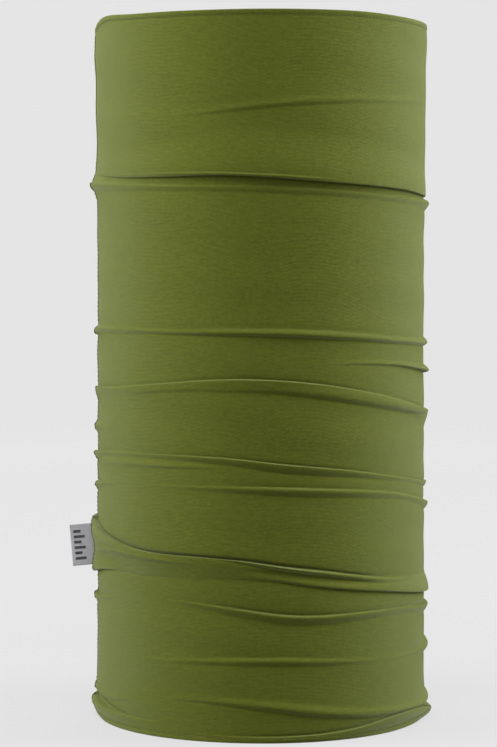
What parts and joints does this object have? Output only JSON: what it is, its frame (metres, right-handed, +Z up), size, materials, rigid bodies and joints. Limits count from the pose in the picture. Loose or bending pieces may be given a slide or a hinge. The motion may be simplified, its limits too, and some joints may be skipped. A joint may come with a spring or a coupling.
{
  "type": "neck gaiter",
  "caption": "Tubular stretch-knit neck gaiter, shown stretched round and bunched into folds, with a side seam and a folded tab label.",
  "frame": {"origin": "centre of the lower opening, level with the lower edge", "axes": "+Z up through the tube to the upper opening, -Y the wearer's front, -X the side seam with the label"},
  "size_m": [0.2006, 0.188, 0.38],
  "materials": {
    "knit": "fine olive jersey knit, matte with a soft sheen",
    "thread": "textured sewing thread in the colour of the knit",
    "label": "grey woven satin tape",
    "label_figure": "black woven yarn"
  },
  "bodies": {
    "gaiter": {"knit_tube": "knit", "seam_front_needle_thread": "thread", "seam_back_needle_thread": "thread", "seam_cover_thread": "thread", "seam_looper_thread": "thread", "top_edge_thread": "thread", "bottom_edge_thread": "thread"},
    "label": {"label_tape": "label", "label_mark": "label_figure"}
  },
  "joints": [
    {"name": "label_fold", "type": "hinge", "parent": "gaiter", "child": "label", "pos_m": [-0.09515, 0, 0.094], "axis": [-0.0872, 0, 0.9962], "range_deg": [-80, 80], "stiffness_Nm_per_rad": 0.0002}
  ]
}
